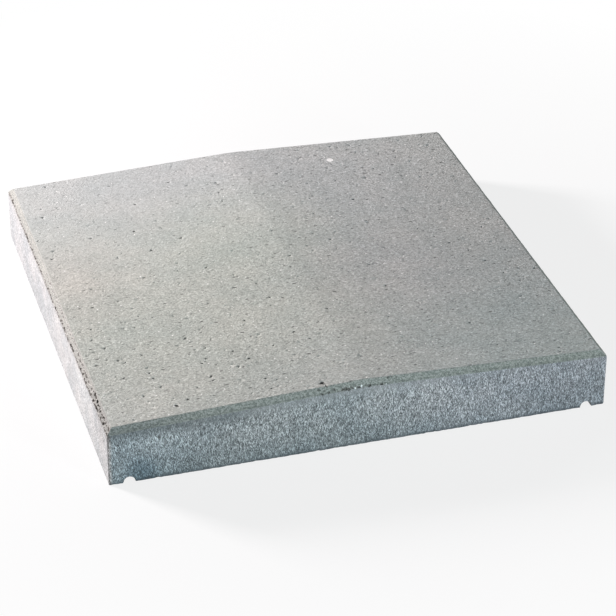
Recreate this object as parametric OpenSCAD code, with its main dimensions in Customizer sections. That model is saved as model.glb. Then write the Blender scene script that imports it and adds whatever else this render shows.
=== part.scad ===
// Pillar cap
// A square cap for a gate pier or garden pillar, cast in one piece from concrete.
// Its top is twice weathered: it falls from a low ridge to the left and right eaves.
// The front and back faces are plain gables, and a bevel runs right round the top.
// Under each eaves a drip groove runs the whole length, so that rain falls clear
// of the pillar.

/* [Cap] */
// Width across the ridge, from eaves to eaves
cap_width = 533; // [300:1:900]
// Length along the ridge, from gable to gable
cap_length = 533; // [300:1:900]
// Thickness at the eaves, before the bevel is taken off
eaves_thickness = 65; // [40:1:120]
// Rise of the ridge above the eaves
ridge_rise = 10; // [4:0.5:40]

/* [Edges] */
// Bevel round the top, measured in from the face and down it
top_bevel = 6; // [2:0.5:20]
// Radius of the four upright corners
corner_radius = 2; // [1:0.5:15]
// Radius that eases the ridge, where the two falls meet
ridge_radius = 200; // [20:5:300]

/* [Drip grooves] */
// Width of a groove
groove_width = 12; // [6:0.5:24]
// Depth of a groove at its crown
groove_depth = 7; // [4:0.5:20]
// Distance from the side of the cap to the near lip of the groove
groove_inset = 15; // [8:0.5:60]

/* [Hidden] */
$fa = 1;
$fs = 0.5;

half_width = cap_width / 2;
half_length = cap_length / 2;
ridge_height = eaves_thickness + ridge_rise;
fall_angle = atan(ridge_rise / half_width);

// How far a cutter runs on past the face it cuts
clearance = 1;

// Unit vector at an angle
function toward(angle) = [cos(angle), sin(angle)];

// Waste outside a rounded edge, about the centre of the round. The two faces
// that meet at the edge face outward at the angles first and last.
module round_waste(radius, first, last) {
    middle = (first + last) / 2;
    reach = 2 * radius;
    difference() {
        polygon([
            [0, 0],
            reach * toward(first),
            reach / cos(middle - first) * toward(middle),
            reach * toward(last)
        ]);
        circle(r = radius);
    }
}

// Waste over a bevelled edge that lies at the origin, between a face on the left
// that looks up and a face below that looks right
module bevel_waste(bevel) {
    polygon([
        [-bevel - clearance, clearance],
        [clearance, clearance],
        [clearance, -bevel - clearance]
    ]);
}

// Section across the ridge: upright sides, bevelled eaves and two falls
module weathered_section() {
    bevel_top = eaves_thickness + top_bevel * tan(fall_angle);
    polygon([
        [-half_width, 0],
        [half_width, 0],
        [half_width, eaves_thickness - top_bevel],
        [half_width - top_bevel, bevel_top],
        [0, ridge_height],
        [-half_width + top_bevel, bevel_top],
        [-half_width, eaves_thickness - top_bevel]
    ]);
}

// Waste over the eased ridge: a round with its crown on the ridge line, let down
// until it touches both falls
module ridge_waste() {
    let_down = ridge_radius / cos(fall_angle) - ridge_radius;
    translate([0, ridge_height - ridge_radius])
        translate([0, -let_down])
        round_waste(ridge_radius, 90 - fall_angle, 90 + fall_angle);
}

// Section of the right drip groove: a round crown over upright lips
module groove_section() {
    crown_radius = groove_width / 2;
    translate([half_width - groove_inset - crown_radius, groove_depth - crown_radius]) {
        circle(r = crown_radius);
        translate([-crown_radius, -groove_depth])
            square([groove_width, groove_depth]);
    }
}

// The whole section across the ridge
module cap_section() {
    difference() {
        weathered_section();
        ridge_waste();
        for (side = [0, 1])
            mirror([side, 0])
            groove_section();
    }
}

// Waste along the right half of the back gable's bevel, following the fall. It runs
// a little past the ridge and the side, where it meets only air or other waste.
module gable_waste() {
    overrun = 2 * top_bevel;
    fall_length = half_width / cos(fall_angle);
    translate([0, half_length, ridge_height])
        rotate([0, fall_angle, 0])
        translate([-overrun, 0, 0])
        rotate([90, 0, 90])
        linear_extrude(height = fall_length + 2 * overrun)
        bevel_waste(top_bevel);
}

// Waste outside the upright corner at the right of the back
module corner_waste() {
    translate([half_width - corner_radius, half_length - corner_radius, -clearance])
        linear_extrude(height = ridge_height + 2 * clearance)
        round_waste(corner_radius, 0, 90);
}

module pillar_cap() {
    color([0.72, 0.71, 0.69])
    difference() {
        rotate([90, 0, 0])
            linear_extrude(height = cap_length, center = true)
            cap_section();
        for (side = [0, 1], gable = [0, 1])
            mirror([side, 0, 0])
            mirror([0, gable, 0]) {
                gable_waste();
                corner_waste();
            }
    }
}

pillar_cap();
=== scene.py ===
import math
import random

import bmesh
import bpy
import numpy as np
from mathutils import Matrix, Vector, kdtree, noise
from mathutils.geometry import delaunay_2d_cdt


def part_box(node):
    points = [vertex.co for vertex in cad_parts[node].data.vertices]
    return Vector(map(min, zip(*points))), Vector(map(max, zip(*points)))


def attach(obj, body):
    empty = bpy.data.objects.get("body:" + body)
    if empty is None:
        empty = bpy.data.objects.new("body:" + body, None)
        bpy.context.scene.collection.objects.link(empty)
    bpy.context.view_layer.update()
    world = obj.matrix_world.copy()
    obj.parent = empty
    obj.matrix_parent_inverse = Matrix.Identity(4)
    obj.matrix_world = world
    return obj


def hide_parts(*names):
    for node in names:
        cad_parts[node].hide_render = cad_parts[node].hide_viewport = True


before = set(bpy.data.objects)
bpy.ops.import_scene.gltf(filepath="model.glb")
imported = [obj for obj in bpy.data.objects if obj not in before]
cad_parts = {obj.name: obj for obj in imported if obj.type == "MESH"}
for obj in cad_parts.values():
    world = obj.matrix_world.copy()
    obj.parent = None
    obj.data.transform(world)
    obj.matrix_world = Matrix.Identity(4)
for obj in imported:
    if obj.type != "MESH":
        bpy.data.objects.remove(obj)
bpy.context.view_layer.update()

# ------------------------------------------------------------------ Form of the casting
# The cap is a single piece of semi-dry concrete, rammed face up in a steel mould. It has
# two falls from a low ridge, a bevel all round and plain upright sides. Its skin is made
# in sheets, each laid out flat and then put in place: the top, the sides and the bed.

MM = 0.001
_, (half_width, half_length, crest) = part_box("pillar_cap")
eaves_height = 65 * MM
ridge_height = 75 * MM
ridge_radius = 200 * MM
top_bevel = 6 * MM
corner_radius = 2 * MM
fall = (ridge_height - eaves_height) / half_width

mesh = bpy.data.meshes.new("cast_cap")

# The finishes, in the order in which their materials are made
TOP, BEVEL, SIDE, BED = range(4)


def weathering(x):
    """Height of the top at a place across the cap, before the bevel is taken off."""
    falling = ridge_height - fall * np.abs(x)
    eased = crest - x**2 / (2 * ridge_radius)
    return np.where(np.abs(x) < ridge_radius * fall, eased, falling)


def inset(x, y):
    """How far in a place in plan lies from the nearest upright face or rounded corner."""
    from_side = half_width - np.abs(x)
    from_gable = half_length - np.abs(y)
    past_side = np.maximum(corner_radius - from_side, 0)
    past_gable = np.maximum(corner_radius - from_gable, 0)
    rounded = corner_radius - np.hypot(past_side, past_gable)
    in_corner = (past_side > 0) & (past_gable > 0)
    return np.where(in_corner, rounded, np.minimum(from_side, from_gable))


# ------------------------------------------------------------------ Top face
# The weathered face is rammed tight and takes its shape from the rammer. Fine sand shows
# all over it, with small blowholes where air was trapped and a few pale grains of
# limestone. The concrete closed up best towards the back left corner.

blowholes = 640
large_blowholes = 20
large_field = 255 * MM
large_densest = (-200 * MM, -140 * MM)
blowhole_depth_share = 0.85
tight_corner = (-240 * MM, 250 * MM)
tight_reach = 260 * MM
closed_share = 0.4
clear_edge = 9 * MM
top_map_middle = 0.35
top_map_scale = 0.69 / (2 * half_width)
random.seed(21)
hollows = []

# The blowholes that stand out, in millimetres: their places across and along from the
# middle, and half their length
deep_blowholes = (
    (-40, -254, 3.4), (-190, -245, 1.8), (-140, -170, 1.9), (-250, 85, 2.0), (-40, -150, 2.1),
    (-250, -145, 1.9), (25, 20, 1.9), (-200, 115, 1.9), (-235, -115, 1.9), (-110, -165, 1.8),
    (-45, -75, 1.9), (-135, 175, 1.7), (50, 145, 1.7), (230, -105, 1.6),
)


def on_top(flat):
    """Places on the top face and its bevel over flat points."""
    x, y = flat.T
    bevelled = np.maximum(top_bevel - inset(x, y), 0)
    return np.stack([x, y, weathering(x) - bevelled], axis=1)


def top_finish(middles):
    """The finish of each triangle of the top sheet: the bevel is pressed, the rest is rammed."""
    return np.where(inset(*middles.T) < top_bevel, BEVEL, TOP)


def unfold_top(spots, middles):
    """Lays the top in the lower left part of the map."""
    return top_map_middle + spots * top_map_scale


def add_hollow(where, flat, turn, radii, depth):
    """Notes a place where the skin is torn or never closed, at a flat point of one sheet."""
    flat = np.array(flat, float)
    a_little = 0.01 * MM
    near = np.array([flat, flat + (a_little, 0), flat + (0, a_little)])
    here, right, up = (Vector(point) for point in where(near))
    right = (right - here).normalized()
    up = (up - here).normalized()
    hollow = {
        "flat": flat,
        "turn": turn,
        "place": here,
        "along": right * math.cos(turn) + up * math.sin(turn),
        "across": up * math.cos(turn) - right * math.sin(turn),
        "radii": radii,
        "depth": depth,
        "phases": [random.uniform(0, 2 * math.pi) for _ in range(3)],
    }
    hollows.append(hollow)
    return hollow


on_top_face = []


def mostly_small(least, most, spread):
    """A random size in metres between two in millimetres, and most often near the least."""
    return min(least * random.random() ** -spread, most) * MM


def add_blowhole(spot, turn, long_radius, narrowest):
    """Adds an oval blowhole to the top face. narrowest is the least that its width may be,
    as a share of its length."""
    radii = (long_radius, long_radius * random.uniform(narrowest, 0.7))
    depth = blowhole_depth_share * radii[1]
    on_top_face.append(add_hollow(on_top, spot, turn, radii, depth))


# First the ones that stand out, then large ones, densest at the front left, then the rest
for across, along, half_long in deep_blowholes:
    turn = random.uniform(-0.4, 0.4)
    add_blowhole((across * MM, along * MM), turn, half_long * MM, 0.5)
for _ in range(large_blowholes):
    spot = [random.triangular(-large_field, large_field, densest) for densest in large_densest]
    turn = random.uniform(-0.4, 0.4)
    add_blowhole(spot, turn, random.uniform(1.4, 1.8) * MM, 0.5)
for _ in range(blowholes):
    spot = [random.uniform(-1, 1) * (half - clear_edge) for half in (half_width, half_length)]
    if math.dist(spot, tight_corner) < tight_reach and random.random() < closed_share:
        continue
    turn = random.gauss(0.2, 0.5)
    add_blowhole(spot, turn, mostly_small(0.62, 2.0, 0.42), 0.3)


def put(tree, kind, feeds, **settings):
    """Adds a node to a tree. feeds gives its inputs, each a value or another node's output."""
    made = tree.nodes.new("ShaderNode" + kind)
    for name, value in settings.items():
        setattr(made, name, value)
    for key, value in feeds.items():
        if isinstance(value, bpy.types.NodeSocket):
            tree.links.new(value, made.inputs[key])
        else:
            made.inputs[key].default_value = value
    return made


def math_of(tree, operation, a, b=0.0):
    """The result of a Math node."""
    return put(tree, "Math", {0: a, 1: b}, operation=operation).outputs[0]


def times(tree, a, b):
    """One value times another."""
    return math_of(tree, "MULTIPLY", a, b)


def between(tree, share, first, second):
    """A value part of the way from the first to the second."""
    return put(tree, "Mix", {0: share, 2: first, 3: second}, data_type="FLOAT").outputs[0]


def larger(tree, a, b):
    """The larger of two values."""
    return math_of(tree, "MAXIMUM", a, b)


def mixed(tree, share, first, second, blend="MIX"):
    """Mixes two colours, the second over the first by a share from 0 to 1."""
    feeds = {"Factor": share, 6: first, 7: second}
    return put(tree, "Mix", feeds, data_type="RGBA", blend_type=blend).outputs[2]


def ranged(tree, value, low, high, to_low=0.0, to_high=1.0):
    """Carries a value from one range to another, and holds it inside that."""
    feeds = {"Value": value, "From Min": low, "From Max": high, "To Min": to_low, "To Max": to_high}
    return put(tree, "MapRange", feeds).outputs["Result"]


def dark_light(tree, value, stops):
    """A colour ramp with the given (position, colour) stops."""
    ramp = put(tree, "ValToRGB", {"Fac": value})
    elements = ramp.color_ramp.elements
    for number, (position, colour) in enumerate(stops):
        element = elements[number] if number < 2 else elements.new(position)
        element.position = position
        element.color = (*colour, 1)
    return ramp.outputs["Color"]


def new_group(name, takes, gives):
    """Starts a node group with named inputs and outputs, and gives its tree and its two ends."""
    tree = bpy.data.node_groups.new(name, "ShaderNodeTree")
    for label, (kind, value) in takes.items():
        socket = tree.interface.new_socket(
            name=label, in_out="INPUT", socket_type="NodeSocket" + kind
        )
        if value is not None:
            socket.default_value = value
    for label, kind in gives.items():
        tree.interface.new_socket(name=label, in_out="OUTPUT", socket_type="NodeSocket" + kind)
    return tree, tree.nodes.new("NodeGroupInput").outputs, tree.nodes.new("NodeGroupOutput").inputs


def use(tree, group, feeds):
    """Places a node group in a tree, and gives its outputs."""
    return put(tree, "Group", feeds, node_tree=group).outputs


# Grains of sand: a tone to each grain over a softer mottle. Drag says how many times
# longer than its size a grain is drawn out along each axis.
sand, given, result = new_group(
    "Sand grains",
    {"Place": ("Vector", None), "Size": ("Float", 0.0015), "Drag": ("Vector", (1, 1, 1))},
    {"Mottle": "Float"},
)
scaled = put(sand, "VectorMath", {0: given["Drag"], "Scale": given["Size"]}, operation="SCALE")
drawn = {0: given["Place"], 1: scaled.outputs[0]}
spot = put(sand, "VectorMath", drawn, operation="DIVIDE").outputs[0]
cloudy = {"Vector": spot, "Scale": 0.7, "Detail": 1.5, "Roughness": 0.6}
soft = put(sand, "TexNoise", cloudy).outputs[0]
cells = put(sand, "TexVoronoi", {"Vector": spot, "Scale": 0.9}).outputs["Color"]
tone = put(sand, "SeparateColor", {0: cells}).outputs[0]
sand.links.new(between(sand, 0.4, soft, tone), result["Mottle"])

# Pinholes, laid out in plan: small round voids, one to a cell at most, in a share of the
# cells. Their radius is a share of the spacing.
pinholes, given, result = new_group(
    "Pinholes",
    {
        "Place": ("Vector", None),
        "Spacing": ("Float", 0.005),
        "Share": ("Float", 0.4),
        "Radius": ("Float", 0.14),
    },
    {"Hole": "Float"},
)
per_metre = math_of(pinholes, "DIVIDE", 1.0, given["Spacing"])
feeds = {"Vector": given["Place"], "Scale": per_metre}
cells = put(pinholes, "TexVoronoi", feeds, voronoi_dimensions="2D").outputs
draw = put(pinholes, "SeparateColor", {0: cells["Color"]}).outputs
chosen = math_of(pinholes, "LESS_THAN", draw[0], given["Share"])
swell = math_of(pinholes, "ADD", times(pinholes, draw[1], draw[1]), 0.35)
radius = times(pinholes, given["Radius"], swell)
hole = ranged(pinholes, cells["Distance"], radius, times(pinholes, radius, 0.6))
pinholes.links.new(times(pinholes, hole, chosen), result["Hole"])

# Damage and painted shade: sunk places get painted shade, torn ones are raw at the rim and dark
# inside with dirt and painted shade, and dirt and painted shade lie all round them
shade_colour = (0.065, 0.065, 0.06, 1)
dirt_and_shade_colour = (0.075, 0.07, 0.062, 1)
raw_colour = (0.68, 0.68, 0.64, 1)
torn_dirt_and_shade_colour = (0.060, 0.054, 0.046, 1)
damage_and_shade, given, result = new_group(
    "Damage_and_shade",
    {
        "Colour": ("Color", None),
        "Sunk": ("Float", 0.0),
        "Torn": ("Float", 0.0),
        "Dirt_and_shade": ("Float", 0.0),
    },
    {"Colour": "Color"},
)
# Sunk places are darkened towards the shade colour: painted shade in the hollows
shaded = ranged(damage_and_shade, given["Sunk"], 0.08, 0.6, 0.0, 0.72)
colour = mixed(damage_and_shade, shaded, given["Colour"], shade_colour)
# Dirt and painted shade stain the skin round the torn places
colour = mixed(damage_and_shade, given["Dirt_and_shade"], colour, dirt_and_shade_colour)
past_rim = ranged(damage_and_shade, given["Torn"], 0.16, 0.24)
at_rim = math_of(damage_and_shade, "SUBTRACT", ranged(damage_and_shade, given["Torn"], 0.08, 0.13), past_rim)
colour = mixed(damage_and_shade, times(damage_and_shade, at_rim, 0.38), colour, raw_colour)
# Torn places are dark inside with dirt and painted shade
inside = ranged(damage_and_shade, given["Torn"], 0.0, 0.85, 0.0, 0.92)
damage_and_shade.links.new(mixed(damage_and_shade, inside, colour, torn_dirt_and_shade_colour), result["Colour"])

# Soft patch: 1 at a spot on the cap, fading to 0 at a radius round it
soft_patch, given, result = new_group(
    "Soft patch",
    {"Place": ("Vector", None), "Centre": ("Vector", None), "Radius": ("Float", 0.1)},
    {"Share": "Float"},
)
ends = {0: given["Place"], 1: given["Centre"]}
away = put(soft_patch, "VectorMath", ends, operation="DISTANCE").outputs["Value"]
full = times(soft_patch, given["Radius"], 0.2)
feeds = {"Value": away, "From Min": given["Radius"], "From Max": full}
fading = put(soft_patch, "MapRange", feeds, interpolation_type="SMOOTHSTEP").outputs["Result"]
soft_patch.links.new(fading, result["Share"])


def start_finish(name):
    """A material for the casting, with its shader and its place on the cap."""
    material = bpy.data.materials.new(name)
    material.use_nodes = True
    tree = material.node_tree
    shader = tree.nodes["Principled BSDF"]
    shader.inputs["Specular IOR Level"].default_value = 0.35
    mesh.materials.append(material)
    return tree, shader, tree.nodes.new("ShaderNodeTexCoord").outputs["Object"]


def end_finish(tree, shader, colour, roughness, height, relief):
    """Adds the damage, with painted shade in its hollows and dirt and painted shade at its torn
    places, to the colour, and sends everything to the shader. relief is in metres.
    """
    feeds = {"Colour": colour}
    for label in ("Sunk", "Torn", "Dirt_and_shade"):
        feeds[label] = put(tree, "Attribute", {}, attribute_name=label.lower()).outputs["Fac"]
    bump = put(tree, "Bump", {"Height": height, "Strength": 1.0, "Distance": relief})
    tree.links.new(use(tree, damage_and_shade, feeds)["Colour"], shader.inputs["Base Color"])
    tree.links.new(roughness, shader.inputs["Roughness"])
    tree.links.new(bump.outputs["Normal"], shader.inputs["Normal"])


def patch(tree, place, centre, radius):
    """The share of a soft patch, with its centre and radius in millimetres."""
    middle = tuple(number * MM for number in centre)
    feeds = {"Place": place, "Centre": middle, "Radius": radius * MM}
    return use(tree, soft_patch, feeds)["Share"]


def tinted(tree, colour, share, tint):
    """The colour multiplied by a tint, over a share of the surface."""
    over = mixed(tree, share, (1, 1, 1, 1), (*tint, 1))
    return mixed(tree, 1.0, colour, over, "MULTIPLY")


def patchy(tree, colour, place, patches):
    """The colour with soft patches on it, each a centre, a radius and a tint."""
    for centre, radius, tint in patches:
        colour = tinted(tree, colour, patch(tree, place, centre, radius), tint)
    return colour


def cloudy_tone(tree, colour, place, scale, stops):
    """The colour varied from place to place by a slow noise."""
    clouds = put(tree, "TexNoise", {"Vector": place, "Scale": scale, "Detail": 3.0}).outputs[0]
    return mixed(tree, 1.0, colour, dark_light(tree, clouds, stops), "MULTIPLY")


# The rammed face: dark and pale grains, warmer to the left and bluer to the back and right,
# and calm where the concrete closed up best. Its soft patches are partly tone that differs at
# random and partly painted light, with painted shade on the right fall and at the front right
sandy = (
    (0.245, (0.222, 0.231, 0.221)),
    (0.415, (0.389, 0.405, 0.383)),
    (0.585, (0.511, 0.533, 0.507)),
    (0.755, (0.748, 0.772, 0.746)),
)
top_tone_and_painted_light = (
    ((-160, -60, 70), 310, (0.985, 1.0, 0.965)),
    ((250, 40, 65), 330, (0.935, 0.935, 0.96)),
    ((-60, 330, 70), 420, (1.0, 1.0, 1.045)),
    ((-264, 20, 66), 130, (1.05, 1.0, 1.0)),
    ((240, -240, 65), 240, (0.90, 0.955, 0.975)),
    ((70, 200, 70), 270, (1.04, 1.035, 1.035)),
    ((90, -60, 70), 130, (1.0, 0.985, 1.0)),
    ((-30, 90, 70), 150, (0.985, 1.003, 0.975)),
    ((50, -290, 66), 200, (0.995, 1.0, 1.012)),
)
top_clouds = ((0.35, (0.94, 0.95, 0.95)), (0.65, (1.05, 1.03, 1.02)))
calm_corner = ((-240, 250, 65), 380)
pinhole_squeeze = (0.36, 1, 1)
pinhole_shade_colour = (0.07, 0.07, 0.065, 1)
limestone_shift = (3.3, 1.7, 0.4)
limestone_lump = ((111, 216, 70.8), 6.6)
limestone_colour = (0.97, 0.97, 0.95, 1)

tree, shader, place = start_finish("rammed_top")
fine = use(tree, sand, {"Place": place, "Size": 0.9 * MM, "Drag": (1.6, 1.04, 1)})["Mottle"]
medium = use(tree, sand, {"Place": place, "Size": 1.7 * MM, "Drag": (1.2, 1, 1)})["Mottle"]
calm = times(tree, patch(tree, place, *calm_corner), 0.4)
mottle = between(tree, calm, between(tree, 0.34, fine, medium), 0.5)
colour = dark_light(tree, mottle, sandy)
colour = cloudy_tone(tree, colour, place, 16.0, top_clouds)
# Soft patches: tone that differs at random, with painted light at the left and painted shade on the
# right fall and at the front right
colour = patchy(tree, colour, place, top_tone_and_painted_light)

# Places squeezed across the cap draw its pinholes out that way. The limestone uses the
# same pattern of cells, shifted so that its grains lie elsewhere.
drawn = put(tree, "VectorMath", {0: place, 1: pinhole_squeeze}, operation="MULTIPLY").outputs[0]
hole = use(tree, pinholes, {"Place": drawn, "Spacing": 7 * MM, "Share": 0.5, "Radius": 0.10})["Hole"]
hole = times(tree, hole, math_of(tree, "SUBTRACT", 1.0, times(tree, calm, 1.3)))
# The pinholes are darkened towards a near black colour: painted shade in the voids
colour = mixed(tree, times(tree, hole, 0.85), colour, pinhole_shade_colour)
elsewhere = put(tree, "VectorMath", {0: place, 1: limestone_shift}, operation="ADD").outputs[0]
feeds = {"Place": elsewhere, "Spacing": 13 * MM, "Share": 0.5, "Radius": 0.06}
lump = ranged(tree, patch(tree, place, *limestone_lump), 0.3, 0.6)
pale = larger(tree, use(tree, pinholes, feeds)["Hole"], lump)
colour = mixed(tree, times(tree, pale, 0.97), colour, limestone_colour)
height = math_of(tree, "SUBTRACT", mottle, times(tree, hole, 0.8))
roughness = ranged(tree, mottle, 0.3, 0.7, 0.82, 0.97)
end_finish(tree, shader, colour, roughness, height, 0.9 * MM)

# ------------------------------------------------------------------ Bevel
# The rammer's rim presses the bevel smooth, but along the left eaves it met the mould
# badly: the edge and the middle of the bevel are torn into two crumbled lines there.
# Some lumps have broken out at the front end of the ridge as well.

bevel_rows = np.array((0.7, 1.4, 2.2, 3.0, 3.8, 4.6, 5.3, 6.0, 6.7, 7.6)) * MM
ridge_rows = np.array((-7.5, -3.7, 0, 3.7, 7.5)) * MM
ridge_clear = 9 * MM
broken_ridge_end = (-56 * MM, 42 * MM)
field_range = (-256 * MM, 257 * MM)
field_step = 4 * MM

# Lumps broken out of the front bevel, in millimetres: their places across from the middle
# and in from the face, and half their size
ridge_end_chips = (
    (-47, 4.6, 1.5), (-44, 0.8, 1.6), (-41, 3.0, 1.2), (-37, 1.2, 1.4), (-38, 6.6, 1.4),
    (-31, 2.6, 1.2), (-27, 0.4, 1.1), (-22.5, 1.6, 1.3), (-18.5, 1.5, 2.0), (-15.5, 0.5, 1.9),
    (-12.5, 1.4, 1.5), (-8.5, 2.4, 1.0), (-5, 1.0, 1.9), (-1, 0.4, 1.0), (2, 1.6, 0.9),
    (5.8, 0.7, 2.0), (10, 1.5, 0.9), (14.5, 0.5, 1.1), (19, 0.7, 1.8), (23, 1.4, 1.0),
    (27, 5.2, 1.3), (31, 5.6, 1.2), (36, 4.6, 1.2),
)
for across, inward, half_size in ridge_end_chips:
    spot = (across * MM, inward * MM - half_length)
    turn = random.choice((-1, 1)) * random.uniform(0.3, 1.3)
    radii = (1.15 * half_size * MM, 0.8 * half_size * MM)
    add_hollow(on_top, spot, turn, radii, 0.9 * half_size * MM)

face_depth = 0.3 * MM

# The torn lines, in millimetres: the edge that each follows, the two places along it that
# it runs between, how far up the bevel it lies, its width and its depth, and how many
# turns it makes in a millimetre
torn_lines = (
    ("left", 234, 269, 1.6, 1.0, 1.2, 0.27),
    ("left", 180, 275, 0.8, 0.8, 0.8, 0.35),
    ("left", 118, 186, 0.8, 0.9, 1.3, 0.35),
    ("left", -70, 125, 0.7, 0.9, 1.2, 0.35),
    ("left", -190, -60, 0.5, 1.0, 1.5, 0.27),
    ("left", -268, -180, 0.6, 1.2, 2.2, 0.27),
    ("left", -130, 66, 6.0, 0.7, 0.35, 0.27),
    ("left", -192, -105, 4.8, 0.8, 0.9, 0.27),
    ("left", -226, -178, 4.8, 1.1, 2.2, 0.27),
    ("left", -268, -216, 4.8, 0.8, 1.3, 0.27),
    ("front", -25, -11, 1.8, 0.6, 1.2, 0.45),
)


def tearing(x, y, z):
    """How deep the skin is torn at a place, how raw it is, which also darkens it inside with dirt and
    painted shade, and how much dirt and painted shade stain it, from 0 to 1.
    """
    by_left = x + half_width < y + half_length
    edge, run, inward = ("left", y, x + half_width) if by_left else ("front", x, y + half_length)
    on_bevel = inward > face_depth
    up_bevel = math.sqrt(2) * inward if on_bevel else z - float(weathering(x)) + top_bevel
    run /= MM
    up_bevel /= MM

    # Each line sways up and down, and bites in lumps as it widens and narrows. Its stain of dirt
    # and painted shade reaches further down than up.
    deepest, rawest, most_dirt_and_shade = 0, 0, 0
    for line_edge, first, last, lift, width, depth, turns in torn_lines:
        if line_edge != edge or not first < run < last:
            continue
        sway = 1.1 * noise.noise((7, run * 0.07, lift)) + 1.7 * noise.noise((3, run * turns, lift))
        lumps = 0.62 + 1.4 * noise.noise((1, run * 0.23, lift))
        lumps += 1.1 * noise.noise((up_bevel * 0.6, run * 0.7, lift))
        span = max(width * (0.8 + 1.3 * noise.noise((5, run * 0.3, lift))), 0.35)
        ends = min((run - first) / 4, (last - run) / 9, 1)
        off = up_bevel - lift
        bite = min(max(lumps, 0.08), 1.5) * ends * math.exp(-(((off - sway) / span) ** 2))
        spread = 2.6 if off > 0 else 3.8
        stain_and_shade = 0.30 * ends * min(depth, 1) * math.exp(-((off / spread) ** 2))
        deepest = max(deepest, depth * bite * MM)
        rawest = max(rawest, min(bite * (depth + 0.7), 1))
        most_dirt_and_shade = max(most_dirt_and_shade, stain_and_shade)
    return deepest, rawest, most_dirt_and_shade


def round_plan(inward, runs):
    """The cap's outline in plan, drawn in by a distance, anticlockwise from its front left end.

    runs says where the points along the front, right, back and left stand."""
    quarter = np.array([(1, 0), (0, 1), (-1, 0), (0, -1)])
    centre_in = max(inward, corner_radius)
    radius = centre_in - inward
    clear_of_corner = 0.3 * MM
    turns = np.radians((-90, -60, -30, 0) if radius else (0,))
    points = []
    for side, run in enumerate(runs):
        along, across = (half_width, half_length) if side % 2 == 0 else (half_length, half_width)
        reach = along - centre_in
        line = [(t, inward - across) for t in run if abs(t) < reach - clear_of_corner]
        for turn in turns:
            corner = (reach + radius * math.cos(turn), centre_in - across + radius * math.sin(turn))
            line.append(corner)
        points += [t * quarter[side] + d * quarter[(side + 1) % 4] for t, d in line]
    return np.roll(np.array(points), 1, axis=0)


def ragged(angle, phases):
    """Radius of a torn rim at an angle, as a share of its mean radius."""
    lobes = zip((2, 3, 5), (0.16, 0.15, 0.10), phases)
    return 1 + sum(height * math.sin(count * angle + phase) for count, height, phase in lobes)


def rings(hollow):
    """Flat points on rings round a hollow, close enough together to hold its rim and floor."""
    long_radius, short_radius = hollow["radii"]
    large = long_radius > 1.2 * MM
    count = 10 if large else 7
    points = [hollow["flat"]]
    for ring in (1.15, 1.0, 0.84, 0.62, 0.32) if large else (1.12, 0.86, 0.5):
        for step in range(count):
            angle = 2 * math.pi * step / count + ring
            reach = ring * ragged(angle, hollow["phases"])
            out = Vector((long_radius * math.cos(angle), short_radius * math.sin(angle))) * reach
            points.append(hollow["flat"] + Matrix.Rotation(hollow["turn"], 2) @ out)
    return np.array(points)


def clear_of(points, group):
    """The points that lie outside every hollow of a group."""
    keep = np.ones(len(points), bool)
    for hollow in group:
        away = np.hypot(*(points - hollow["flat"]).T)
        keep &= away > 1.3 * hollow["radii"][0]
    return points[keep]


def scattered(across, along, step, shake):
    """A grid of flat points over two ranges, each shaken a little so that no rows show."""
    a, b = np.meshgrid(np.arange(*across, step), np.arange(*along, step))
    points = np.stack([a.ravel(), b.ravel()], axis=1)
    shaken = [[random.uniform(-shake, shake) * step for _ in range(2)] for _ in points]
    return points + np.array(shaken)


skin = {"points": [], "faces": [], "finish": [], "map": []}


def lay_sheet(outline, inner, where, finish, unfold, downward=False):
    """Fills a flat outline with triangles that use the inner points, and puts it in place.

    where turns flat points into places, finish gives the number of a triangle's material,
    and unfold gives its corners' spots in the map that the finish is baked through."""
    flat = [Vector(point) for point in np.vstack([outline, inner])]
    loop = [list(range(len(outline)))]
    inside_only = 1
    touching = 0.001 * MM
    spots, _, triangles, *_ = delaunay_2d_cdt(flat, [], loop, inside_only, touching)
    spots = np.array([tuple(spot) for spot in spots])
    corners = np.array([triangle[::-1] if downward else triangle for triangle in triangles])
    first = sum(len(part) for part in skin["points"])
    middles = spots[corners].mean(axis=1)
    skin["points"].append(where(spots))
    skin["faces"].append(corners + first)
    skin["finish"].append(finish(middles))
    skin["map"].append(unfold(spots[corners], middles))


def evenly(step):
    """Places along one side of the cap, a step in millimetres apart."""
    return np.arange(-264, 264.1, step) * MM


# The seam is the lower edge of the bevel, where the top meets the sides. Its points stand
# close together at the crumbled left eaves and at the chipped end of the ridge.
even = evenly(2.4)
close = evenly(0.8)
at_ridge_end = (even > broken_ridge_end[0]) & (even < broken_ridge_end[1])
close_at_ridge_end = np.arange(*broken_ridge_end, 0.8 * MM)
front_run = np.sort(np.append(even[~at_ridge_end], close_at_ridge_end))
seam_runs = [front_run, even, even, close]
seam = round_plan(0, seam_runs)

# The top and the bevel are one sheet, with rows of points up the bevel and along the
# ridge, scattered points on the falls, and rings round the blowholes
inner = [round_plan(row, seam_runs) for row in bevel_rows]
field = scattered(field_range, field_range, field_step, 0.3)
spread_out = [field[np.abs(field[:, 0]) > ridge_clear]]
along_ridge = np.linspace(-257, 257, 130) * MM
for x in ridge_rows:
    spread_out.append(np.stack([np.full(len(along_ridge), x), along_ridge], axis=1))
inner.append(clear_of(np.vstack(spread_out), on_top_face))
inner += [rings(hollow) for hollow in on_top_face]
lay_sheet(seam, np.vstack(inner), on_top, top_finish, unfold_top)


def split(tree, vector):
    """A vector's X, Y and Z."""
    return put(tree, "SeparateXYZ", {0: vector}).outputs


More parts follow.
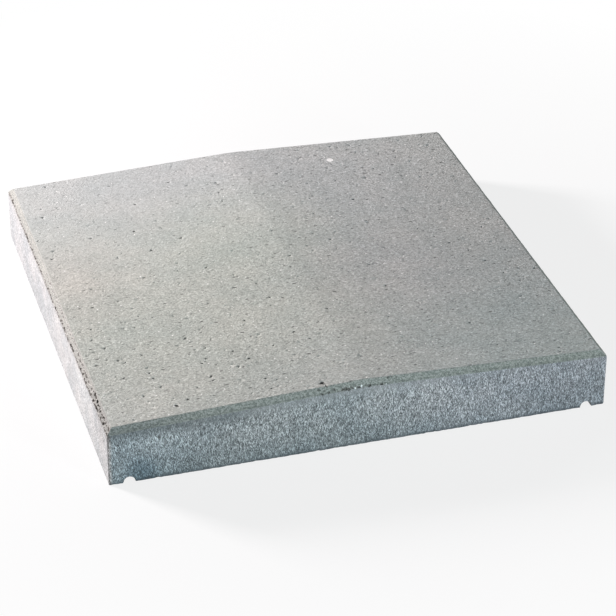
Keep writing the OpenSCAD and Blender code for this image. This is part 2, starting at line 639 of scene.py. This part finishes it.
# The bevel is dark and close, greener than the top, and darkest where it faces left, which is
# painted shade. A dark line runs along its lower edge, broken on the left, and its upper part
# is painted paler elsewhere, as painted light where the bevel falls in its own shade.
# Fresh white stone shows between the chips at the end of the ridge.
pressed = (
    (0.34, (0.170, 0.186, 0.169)),
    (0.5, (0.278, 0.292, 0.264)),
    (0.66, (0.386, 0.396, 0.365)),
)
bevel_patches = (
    ((280, -266, 62), 280, (0.86, 0.85, 0.84)),
    ((-262, -264, 62), 100, (0.84, 0.85, 0.87)),
    ((-264, 140, 62), 120, (0.94, 0.94, 0.94)),
)
left_painted_shade_tint = (0.74, 0.715, 0.715)
lower_tint = (0.80, 0.80, 0.80)
upper_painted_light_tint = (1.20, 1.20, 1.20)
fresh_stone = ((2, -266, 68), 38)
fresh_colour = (0.93, 0.94, 0.92, 1)

tree, shader, place = start_finish("pressed_bevel")
fine = use(tree, sand, {"Place": place, "Size": 1.2 * MM})["Mottle"]
colour = dark_light(tree, fine, pressed)
facing = split(tree, put(tree, "NewGeometry", {}).outputs["Normal"])["X"]
# Painted shade on the bevel where it faces left
colour = tinted(tree, colour, ranged(tree, facing, -0.2, -0.5), left_painted_shade_tint)
colour = patchy(tree, colour, place, bevel_patches)
parts = split(tree, place)
off_ridge = math_of(tree, "ABSOLUTE", parts["X"])
outermost = larger(tree, off_ridge, math_of(tree, "ABSOLUTE", parts["Y"]))
off_left = ranged(tree, facing, -0.5, -0.2)
clumps = put(tree, "TexNoise", {"Vector": place, "Scale": 150.0, "Detail": 1.0}).outputs[0]
broken_up = larger(tree, off_left, ranged(tree, clumps, 0.44, 0.6))
lower = ranged(tree, outermost, half_width - 2.2 * MM, half_width - 1.4 * MM)
colour = tinted(tree, colour, times(tree, broken_up, lower), lower_tint)
# Painted light on the upper part of the bevel, away from the left
painted_light_up_bevel = ranged(tree, outermost, half_width - 4 * MM, half_width - 6.5 * MM)
colour = tinted(tree, colour, times(tree, off_left, painted_light_up_bevel), upper_painted_light_tint)
feeds = {"Place": place, "Spacing": 3.4 * MM, "Share": 0.85, "Radius": 0.27}
specks = use(tree, pinholes, feeds)["Hole"]
lip = ranged(tree, outermost, half_width - 3.2 * MM, half_width - 2.4 * MM)
fresh = times(tree, times(tree, lip, specks), patch(tree, place, *fresh_stone))
colour = mixed(tree, fresh, colour, fresh_colour)
end_finish(tree, shader, colour, ranged(tree, fine, 0.3, 0.7, 0.7, 0.85), fine, 0.15 * MM)

# ------------------------------------------------------------------ Sides
# The upright faces lay against oiled steel. They keep a skin of fine cement with pale
# streaks of lime drawn upwards as the mould was lifted off, and painted shade makes them
# darkest at the foot, most of all on the gables.

groove_width = 12 * MM
groove_depth = 7 * MM
groove_inset = 15 * MM
lip_splay = 0.4 * MM
crown_radius = groove_width / 2
groove_middle = half_width - groove_inset - crown_radius
side_pits = 420
foot_chips = 150
rows_over_foot = (0.7, 1.7)
map_margin = 0.005
past_top = 0.705
side_strip = 0.098

# Rows of points under the seam: how far down each lies, in millimetres, and which of the
# seam's points it repeats, 1 for all of them and 3 for every third
rows_under_seam = ((0.7, 1), (1.5, 1), (2.4, 1), (3.6, 3), (5.4, 3))


def foot(x):
    """Height of the bed at a place across the cap: nothing, but for the two drip grooves."""
    away = np.abs(np.abs(x) - groove_middle)
    arch = groove_depth - crown_radius + np.sqrt(np.maximum(crown_radius**2 - away**2, 0))
    return np.where(away < crown_radius, arch, 0)


arch_steps = np.cos(np.radians(np.arange(10, 171, 16))) * crown_radius
splay = crown_radius + lip_splay
groove_steps = np.concatenate([arch_steps, [-splay, splay]])
coarse = evenly(3)
off_grooves = coarse[np.abs(np.abs(coarse) - groove_middle) > crown_radius + 1 * MM]
in_grooves = [groove_steps - groove_middle, groove_steps + groove_middle]
gable_run = np.sort(np.concatenate([off_grooves, *in_grooves]))
bed_runs = [gable_run, coarse, gable_run, coarse]
bed_edge = round_plan(0, bed_runs)


def distance_round(points):
    """How far round the cap each of a closed run of points lies, with the first one at both ends."""
    closed = np.vstack([points, points[:1]])
    return np.append(0, np.cumsum(np.hypot(*np.diff(closed, axis=0).T))), closed


seam_distance, closed_seam = distance_round(seam)
edge_distance, closed_edge = distance_round(bed_edge)
whole_way = seam_distance[-1]
seam_top = weathering(closed_seam[:, 0]) - top_bevel
edge_foot = foot(closed_edge[:, 0])


def on_sides(flat):
    """Places on the upright faces: flat points give the distance round the cap, and the height."""
    x, y = (np.interp(flat[:, 0], seam_distance, closed_seam[:, axis]) for axis in range(2))
    return np.stack([x, y, flat[:, 1]], axis=1)


def side_finish(middles):
    """The finish of each triangle of the sides."""
    return np.full(len(middles), SIDE)


def unfold_sides(spots, middles):
    """Lays three sides one above the other over the top in the map, and the left one beside it."""
    side = np.minimum(middles[:, 0] // (whole_way / 4), 3).astype(int)[:, None]
    u = (spots[..., 0] - side * whole_way / 4) * top_map_scale
    v = spots[..., 1] * top_map_scale
    stacked = np.stack([map_margin + u, past_top + side_strip * side + v], axis=-1)
    beside = np.stack([past_top + v, map_margin + u], axis=-1)
    return np.where((side == 3)[..., None], beside, stacked)


on_side_faces = []
for _ in range(side_pits):
    spot = (random.uniform(0, whole_way), random.uniform(4 * MM, 54 * MM))
    long_radius = mostly_small(0.5, 1.5, 0.4)
    radii = (long_radius, long_radius * random.uniform(0.45, 0.9))
    turn = math.pi / 2 + random.gauss(0, 0.5)
    on_side_faces.append(add_hollow(on_sides, spot, turn, radii, 0.8 * radii[1]))
for _ in range(foot_chips):
    spot = (random.uniform(0, whole_way), random.uniform(0, 0.6 * MM))
    long_radius = random.uniform(0.6, 2.2) * MM
    turn = random.gauss(0, 0.2)
    depth = random.uniform(0.2, 0.6) * MM
    add_hollow(on_sides, spot, turn, (long_radius, 0.5 * long_radius), depth)

# The sides are one sheet too, laid out as a strip from the front left corner all the way
# round. Rows follow its two edges, and upright rows keep each rounded corner true.
inner = []
for drop, every in rows_under_seam:
    under_seam = np.stack([seam_distance, seam_top - drop * MM], axis=1)
    inner.append(under_seam[::every])
for rise in rows_over_foot:
    inner.append(np.stack([edge_distance, edge_foot + rise * MM], axis=1))
field = scattered((2 * MM, whole_way - 1 * MM), (4.5 * MM, 62 * MM), field_step, 0.25)
across = on_sides(field)[:, 0]
under_top = field[:, 1] < weathering(across) - top_bevel - 7 * MM
over_foot = field[:, 1] > foot(across) + 2 * MM
inner.append(clear_of(field[under_top & over_foot], on_side_faces))
corners_from = np.array((half_width, half_length)) - corner_radius - 0.01 * MM
in_corner = (np.abs(closed_seam) > corners_from).all(axis=1)
upright = [(distance, rise * MM) for distance in seam_distance[in_corner] for rise in range(4, 53, 3)]
inner.append(np.array(upright))
pits = np.vstack([rings(hollow) for hollow in on_side_faces])
inner.append(pits[(pits[:, 0] > 1 * MM) & (pits[:, 0] < whole_way - 1 * MM)])
lower_edge = np.stack([edge_distance, edge_foot], axis=1)
upper_edge = np.stack([seam_distance, seam_top], axis=1)
side_outline = np.vstack([lower_edge, upper_edge[::-1]])
lay_sheet(side_outline, np.vstack(inner), on_sides, side_finish, unfold_sides)

# The cement skin: lime streaks over dark, strongest on the two gables, which get painted
# shade and a painted shadow at the foot. They are calmer under the bevel and on the back
# gable, in painted shade under the bevel at the left, and painted paler along the left arris
# as painted light.
limy = (
    (0.28, (0.015, 0.0155, 0.0155)),
    (0.44, (0.140, 0.143, 0.141)),
    (0.56, (0.296, 0.300, 0.296)),
    (0.70, (0.73, 0.73, 0.72)),
)
side_patches = (
    ((-234, -266, 10), 27, (0.635, 0.70, 0.745)),
    ((266, -266, 26), 140, (0.83, 0.84, 0.85)),
    ((240, -266, 30), 300, (1.045, 1.0, 1.035)),
    ((-266, 300, 30), 420, (0.84, 0.84, 0.85)),
    ((-266, -150, 62), 70, (1.15, 1.15, 1.14)),
    ((-266, -236, 62), 44, (0.84, 0.84, 0.84)),
)
side_clouds = ((0.36, (0.87, 0.90, 0.92)), (0.62, (1.07, 1.06, 1.06)))
smooth_stretch = ((-50, -266, 64), 230)
foot_shade_tint = (0.44, 0.52, 0.55)
foot_shadow_colour = (0.05, 0.06, 0.065, 1)
painted_shade_left = ((-266, -266, 58), 215)
under_bevel_shade_tint = (0.55, 0.56, 0.56)
left_end = ((-266, -266, 40), 135)
left_end_tint = (0.925, 1.0, 1.04)
corner_light_tint = (1.46, 1.23, 1.14)

tree, shader, place = start_finish("moulded_side")
speckle = use(tree, sand, {"Place": place, "Size": 0.32 * MM, "Drag": (1, 1, 4.8)})["Mottle"]
streak = use(tree, sand, {"Place": place, "Size": 1.3 * MM, "Drag": (1, 1, 3)})["Mottle"]
parts = split(tree, place)
up = parts["Z"]
facing = split(tree, put(tree, "NewGeometry", {}).outputs["Normal"])["Y"]
gable = ranged(tree, math_of(tree, "ABSOLUTE", facing), 0.5, 0.9)
fallen = times(tree, math_of(tree, "ABSOLUTE", parts["X"]), fall)
seam_over = math_of(tree, "SUBTRACT", ridge_height - top_bevel, math_of(tree, "ADD", fallen, up))
smoothest = between(tree, patch(tree, place, *smooth_stretch), 0.25, 0.6)
by_seam = times(tree, ranged(tree, seam_over, 3 * MM, 12 * MM, 1.0, 0.0), smoothest)
at_back = ranged(tree, facing, 0.5, 0.9, 0.0, 0.35)
evenness = between(tree, gable, 0.45, larger(tree, by_seam, at_back))
middling = between(tree, gable, 0.563, 0.535)
lime = between(tree, evenness, between(tree, 0.22, speckle, streak), middling)
colour = dark_light(tree, lime, limy)
# Painted shade towards the foot, strongest on the gables
low_down = ranged(tree, up, 6 * MM, 48 * MM, 0.45, 0.0)
painted_foot_shade = times(tree, ranged(tree, gable, 0.0, 1.0, 0.3, 1.0), low_down)
colour = tinted(tree, colour, painted_foot_shade, foot_shade_tint)
# A painted shadow along the foot of the gables, where they meet the table
painted_foot_shadow = times(tree, gable, ranged(tree, up, 1 * MM, 5 * MM, 0.75, 0.0))
colour = mixed(tree, painted_foot_shadow, colour, foot_shadow_colour)
colour = cloudy_tone(tree, colour, place, 22.0, side_clouds)
# Painted shade on the gables just under the bevel, near the left corner
under_bevel_band = times(tree, gable, ranged(tree, up, 48 * MM, 58 * MM))
painted_shade_by_corner = times(tree, under_bevel_band, patch(tree, place, *painted_shade_left))
colour = tinted(tree, colour, painted_shade_by_corner, under_bevel_shade_tint)
by_left_end = times(tree, gable, patch(tree, place, *left_end))
colour = tinted(tree, colour, by_left_end, left_end_tint)
# Painted light on the gables along the left corner, where the rounded arris turns towards the lamp
painted_light_strip = ranged(tree, parts["X"], 4.5 * MM - half_width, 1.5 * MM - half_width)
colour = tinted(tree, colour, times(tree, gable, painted_light_strip), corner_light_tint)
colour = patchy(tree, colour, place, side_patches)
end_finish(tree, shader, colour, ranged(tree, lime, 0.3, 0.7, 0.75, 0.92), lime, 0.2 * MM)

# ------------------------------------------------------------------ Bed
# The underside lay on the base of the mould, where two bars formed the drip grooves. It
# beds on mortar, so it is plain and a little coarser than the sides.

bed_map_middle = 0.845
bed_map_scale = 0.28 / (2 * half_width)
bed_range = (-262 * MM, 263 * MM)
bed_step = 8 * MM


def on_bed(flat):
    """Places on the bed under flat points."""
    x, y = flat.T
    return np.stack([x, y, foot(x)], axis=1)


def bed_finish(middles):
    """The finish of each triangle of the bed."""
    return np.full(len(middles), BED)


def unfold_bed(spots, middles):
    """Lays the bed in the upper right corner of the map, at a smaller scale."""
    return bed_map_middle + spots * bed_map_scale


along_grooves = np.arange(-260, 261, 8) * MM
inner = [round_plan(1.2 * MM, bed_runs)]
field = scattered(bed_range, bed_range, bed_step, 0.2)
inner.append(field[np.abs(np.abs(field[:, 0]) - groove_middle) > crown_radius + 2 * MM])
inner.append(np.array([(x, y) for steps in in_grooves for x in steps for y in along_grooves]))
lay_sheet(bed_edge, np.vstack(inner), on_bed, bed_finish, unfold_bed, downward=True)

coarser = (
    (0.28, (0.20, 0.205, 0.20)),
    (0.5, (0.40, 0.405, 0.39)),
    (0.72, (0.56, 0.56, 0.54)),
)
tree, shader, place = start_finish("moulded_bed")
fine = use(tree, sand, {"Place": place, "Size": 1.6 * MM})["Mottle"]
colour = dark_light(tree, fine, coarser)
end_finish(tree, shader, colour, ranged(tree, fine, 0.3, 0.7, 0.8, 0.95), fine, 0.4 * MM)

# ------------------------------------------------------------------ Skin
# The sheets are welded into one closed skin. Its hollows are sunk, its arrises are worn
# round, and its faces are left slightly uneven, always inward from the mould's surface.

arris_wear = 0.35 * MM
arris_reach = 0.9 * MM
unevenness = 0.12 * MM
roughness_depth = 0.02 * MM
rolling_scale = 28
rough_scale = 260
gritty_scale = 900
floor_scale = 1400
rim_share = 0.42
weld_gap = 0.003 * MM
torn_reach = 9 * MM
ridge_end_reach = 60 * MM
half_height = crest / 2
sharp_angle = math.radians(48)

mesh.from_pydata(np.vstack(skin["points"]).tolist(), [], np.vstack(skin["faces"]).tolist())
mesh.polygons.foreach_set("material_index", np.concatenate(skin["finish"]).astype(np.int32))
bake_map = mesh.uv_layers.new(name="OFBake")
bake_map.uv.foreach_set("vector", np.concatenate(skin["map"]).astype(np.float32).ravel())
welded = bmesh.new()
welded.from_mesh(mesh)
bmesh.ops.remove_doubles(welded, verts=welded.verts, dist=weld_gap)
welded.to_mesh(mesh)
welded.free()


def read(items, name):
    """A vector of each of a mesh's items, as an array."""
    values = np.empty(len(items) * 3, np.float32)
    items.foreach_get(name, values)
    return values.reshape(-1, 3).astype(float)


places = read(mesh.vertices, "co")
outward = read(mesh.vertices, "normal")
x, y, z = places.T
neighbours = kdtree.KDTree(len(places))
for number, point in enumerate(places):
    neighbours.insert(point, number)
neighbours.balance()

# How far each point is sunk, and how torn it is and how much dirt and painted shade it takes.
# The torn lines come first, and then the hollows, each with a sloping rim and an uneven floor.
sunk = np.zeros(len(places))
torn = np.zeros(len(places))
dirt_and_shade = np.zeros(len(places))
near_left = x < torn_reach - half_width
near_ridge_end = (y < torn_reach - half_length) & (np.abs(x) < ridge_end_reach)
for number in np.flatnonzero((near_left | near_ridge_end) & (z > half_height)):
    sunk[number], torn[number], dirt_and_shade[number] = tearing(*places[number])
for hollow in hollows:
    long_radius, short_radius = hollow["radii"]
    for point, number, _ in neighbours.find_range(hollow["place"], 1.4 * long_radius):
        away = point - hollow["place"]
        a = away.dot(hollow["along"]) / long_radius
        b = away.dot(hollow["across"]) / short_radius
        out = math.hypot(a, b) / ragged(math.atan2(b, a), hollow["phases"])
        share = min(max((1 - out) / rim_share, 0), 1)
        slope = share * share * (3 - 2 * share)
        floor = 0.8 + 0.4 * noise.noise(point * floor_scale)
        sunk[number] = max(sunk[number], hollow["depth"] * floor * slope)

# The faces roll slightly, and wear rounds the arris under the bevel and the one at the foot
rolling = np.array([noise.noise(Vector(point) * rolling_scale) for point in places])
rough = np.array([noise.noise(Vector(point) * rough_scale) for point in places])
rough += np.array([0.6 * noise.noise(Vector(point) * gritty_scale) for point in places])
from_face = np.maximum(inset(x, y), 0)
under_arris = weathering(x) - top_bevel - z
from_arris = np.minimum(np.hypot(from_face, under_arris), np.hypot(from_face, z))
worn = arris_wear * np.exp(-((from_arris / arris_reach) ** 2)) * np.clip(0.7 + 1.1 * rough, 0.1, 2.2)
uneven = unevenness * (0.5 + 0.5 * rolling) + roughness_depth * (1 + np.clip(rough, -1, 1))
moved = places - outward * (sunk + worn + uneven)[:, None]
moved = np.clip(moved, (-half_width, -half_length, 0), (half_width, half_length, crest))
mesh.vertices.foreach_set("co", moved.astype(np.float32).ravel())

for name, values in (("sunk", sunk / MM), ("torn", torn), ("dirt_and_shade", dirt_and_shade)):
    kept = mesh.attributes.new(name, "FLOAT", "POINT")
    kept.data.foreach_set("value", np.clip(values, 0, 1).astype(np.float32))
mesh.update()
mesh.shade_smooth()
mesh.set_sharp_from_angle(angle=sharp_angle)
cap = bpy.data.objects.new("cast_cap", mesh)
bpy.context.scene.collection.objects.link(cap)
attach(cap, "root")
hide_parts("pillar_cap")

# ------------------------------------------------------------------ Table and room
# The cap lies on a white table in a pale room. Both are seen as white, but they throw
# back only a plain amount of light, and the table keeps the cap's shadow.

table_half = 4
cap_shadow_reach = 0.4
plain_white_from = 0.9
table_mesh = bpy.data.meshes.new("table")
table_corners = [(-1, -1), (1, -1), (1, 1), (-1, 1)]
table_points = [(x * table_half, y * table_half, 0) for x, y in table_corners]
table_mesh.from_pydata(table_points, [], [(0, 1, 2, 3)])
table = bpy.data.objects.new("table", table_mesh)
bpy.context.scene.collection.objects.link(table)


def seen(tree):
    """1 for what is seen, also in gloss or through glass, and 0 for what only lights the cap."""
    rays = tree.nodes.new("ShaderNodeLightPath").outputs
    in_sight = larger(tree, rays["Is Camera Ray"], rays["Is Glossy Ray"])
    return larger(tree, in_sight, rays["Is Transmission Ray"])


white_top = bpy.data.materials.new("white_table")
white_top.use_nodes = True
table_mesh.materials.append(white_top)
tree = white_top.node_tree
tree.nodes.clear()
paper = put(tree, "BsdfDiffuse", {"Color": (0.8, 0.8, 0.8, 1)}).outputs[0]
glow = put(tree, "Emission", {"Color": (1, 1, 1, 1), "Strength": 1.0}).outputs[0]
spot = put(tree, "NewGeometry", {}).outputs["Position"]
away = put(tree, "VectorMath", {0: spot}, operation="LENGTH").outputs["Value"]
fading = ranged(tree, away, cap_shadow_reach, plain_white_from, 0.82, 1.0)
whiteness = times(tree, seen(tree), fading)
surface = put(tree, "MixShader", {0: whiteness, 1: paper, 2: glow}).outputs[0]
put(tree, "OutputMaterial", {"Surface": surface})

world = bpy.data.worlds.new("pale_room")
bpy.context.scene.world = world
world.use_nodes = True
tree = world.node_tree
tree.nodes.clear()
walls = put(tree, "Background", {"Color": (0.97, 1.0, 1.03, 1), "Strength": 0.12}).outputs[0]
white = put(tree, "Background", {"Color": (1, 1, 1, 1), "Strength": 1.0}).outputs[0]
room = put(tree, "MixShader", {0: seen(tree), 1: walls, 2: white}).outputs[0]
put(tree, "OutputWorld", {"Surface": room})

# ------------------------------------------------------------------ Lamps and camera
# A soft lamp stands to the left and behind, as a window would, with a weaker one at the
# front. The camera stands at the front, a little to the left, and looks down on the cap.

lamp_aim = Vector((0, 0, crest))
camera_aim = Vector((-10.4, -102.5, 70.0)) * MM
camera_distance = 2.618
azimuth = math.radians(16.588)
elevation = math.radians(30.942)
roll = math.radians(0.128)
focal_length = 143.45


def hang_lamp(name, place, size, watts, colour):
    """A square soft lamp, turned to the middle of the cap."""
    lamp = bpy.data.objects.new(name, bpy.data.lights.new(name, "AREA"))
    lamp.data.size = size
    lamp.data.energy = watts
    lamp.data.color = colour
    lamp.location = place
    lamp.rotation_euler = (lamp_aim - Vector(place)).to_track_quat("-Z", "Y").to_euler()
    bpy.context.scene.collection.objects.link(lamp)


hang_lamp("key_lamp", (-1.75, 1.42, 0.75), 0.5, 154, (1.0, 0.936, 0.945))
hang_lamp("front_lamp", (1.05, -2.35, 0.25), 0.35, 57, (0.786, 0.937, 1.0))

level = math.cos(elevation)
looking = Vector((math.sin(azimuth) * level, math.cos(azimuth) * level, -math.sin(elevation)))
upright = looking.to_track_quat("-Z", "Y")
camera = bpy.data.objects.new("camera", bpy.data.cameras.new("camera"))
camera.data.lens = focal_length
camera.data.sensor_width = 36
camera.location = camera_aim - looking * camera_distance
camera.rotation_euler = (upright @ Matrix.Rotation(roll, 3, "Z").to_quaternion()).to_euler()
bpy.context.scene.collection.objects.link(camera)
bpy.context.scene.camera = camera
bpy.context.scene.view_settings.view_transform = "Standard"
